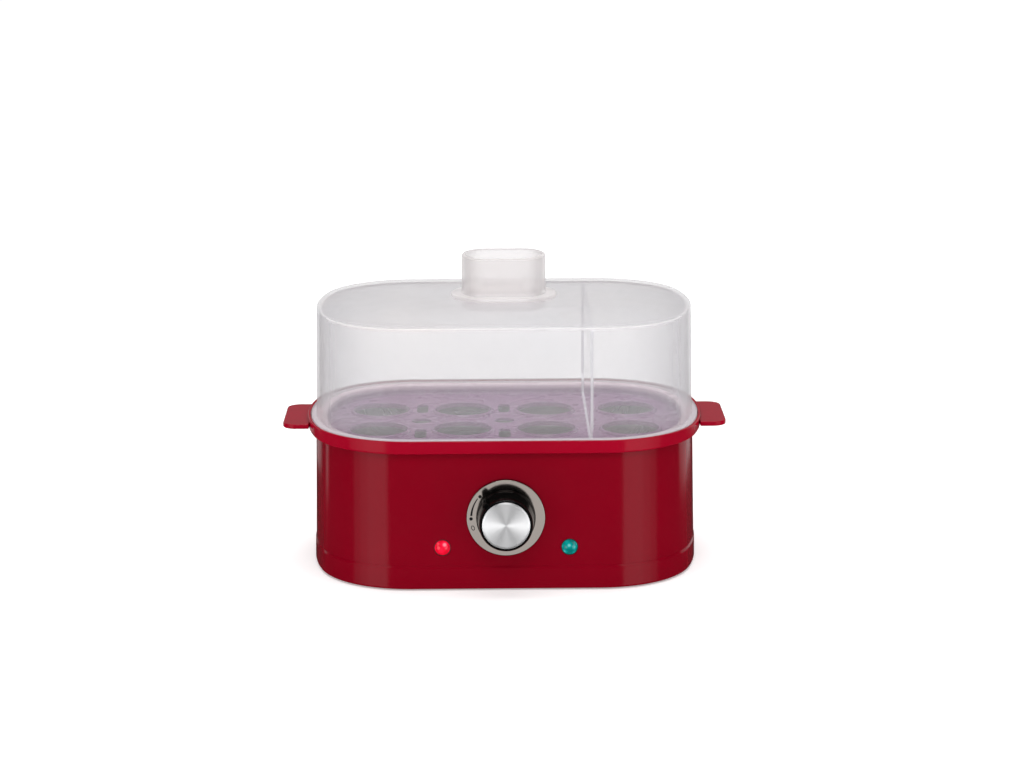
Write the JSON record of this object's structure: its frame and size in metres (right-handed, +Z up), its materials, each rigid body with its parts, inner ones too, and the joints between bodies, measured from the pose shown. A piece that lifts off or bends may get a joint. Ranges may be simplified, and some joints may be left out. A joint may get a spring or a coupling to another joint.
{
  "type": "egg cooker",
  "caption": "Oval electric egg cooker with a red housing and side handles, a dial and lamps, a water dish, an egg tray, and a milky lift-off cover with a hollow grip.",
  "frame": {"origin": "on the surface that it stands on, under the middle of the oval housing", "axes": "+X along the length to the right as seen from the front, +Y to the back, +Z up"},
  "size_m": [0.2646, 0.1808, 0.1854],
  "materials": {
    "base_plastic": "moulded black plastic with a fine grain",
    "body_red": "glossy dark red moulded plastic",
    "rim_red": "glossy red moulded plastic",
    "foot_rubber": "soft dark rubber",
    "fastener_steel": "plated steel",
    "ring_metal": "satin brushed warm grey metal with black printed marks",
    "knob_plastic": "glossy black plastic",
    "cap_metal": "spun aluminium with a fine circular brushing",
    "switch_plastic": "dark grey moulded plastic",
    "lens_red": "clear red faceted lens, lit",
    "lens_green": "clear green faceted lens, lit",
    "sleeve_plastic": "white plastic",
    "neon_glass": "small glass lamps",
    "dish_steel": "drawn stainless steel",
    "seal_rubber": "grey silicone",
    "aluminium_plate": "die-cast aluminium",
    "heater_sheath": "heat-tinted steel sheath",
    "shield_sheet": "bright sheet metal",
    "thermostat_body": "black phenolic with a steel flange",
    "fuse_sleeve": "white glass-fibre sleeve",
    "ceramic": "off-white insulator",
    "tag_brass": "tinned brass",
    "wire_brown": "brown insulation",
    "wire_blue": "blue insulation",
    "wire_earth": "green and yellow insulation",
    "wire_white": "white glass-fibre insulation",
    "wire_red": "red insulation",
    "wire_green": "green insulation",
    "tray_plastic": "smooth lilac grey plastic",
    "milky_plastic": "milky translucent plastic"
  },
  "bodies": {
    "base": {"base_pan": "body_red", "housing": "body_red", "rim_frame": "rim_red", "feet": "foot_rubber", "base_screws": "fastener_steel", "dial_bezel": "ring_metal", "control_switch": "switch_plastic", "control_nut": "fastener_steel", "red_lens": "lens_red", "green_lens": "lens_green", "lamp_sleeves": "sleeve_plastic", "neon_lamps": "neon_glass", "heating_dish": "dish_steel", "dish_seal": "seal_rubber", "heat_spreader": "aluminium_plate", "heater_tube": "heater_sheath", "heater_terminals": "ceramic", "dish_studs": "fastener_steel", "stud_spacers": "fastener_steel", "shield_nuts": "fastener_steel", "heat_shield": "shield_sheet", "limit_thermostat": "thermostat_body", "thermal_fuse": "fuse_sleeve", "fuse_clip": "fastener_steel", "terminal_block": "ceramic", "terminal_screws": "fastener_steel", "earth_screw": "fastener_steel", "earth_tag": "tag_brass", "cord_gland": "base_plastic", "gland_nut": "base_plastic", "wire_live": "wire_brown", "wire_neutral": "wire_blue", "wire_earth": "wire_earth", "wire_switched": "wire_white", "wire_heater": "wire_white", "wire_lamp_red": "wire_red", "wire_lamp_green": "wire_green"},
    "dial": {"knob_body": "knob_plastic", "knob_cap": "cap_metal", "spindle": "fastener_steel"},
    "tray": {"egg_tray": "tray_plastic"},
    "cover": {"cover": "milky_plastic", "divider": "milky_plastic", "vent_grip": "milky_plastic"}
  },
  "joints": [
    {"name": "dial_turn", "type": "hinge", "parent": "base", "child": "dial", "pos_m": [0, -0.08, 0.044], "axis": [0, -1, 0], "range_deg": [0, 62]},
    {"name": "tray_lift", "type": "slide", "parent": "base", "child": "tray", "axis": [0, 0, 1], "range_m": [0, 0.12]},
    {"name": "cover_lift", "type": "slide", "parent": "tray", "child": "cover", "axis": [0, 0, 1], "range_m": [0, 0.15]}
  ]
}
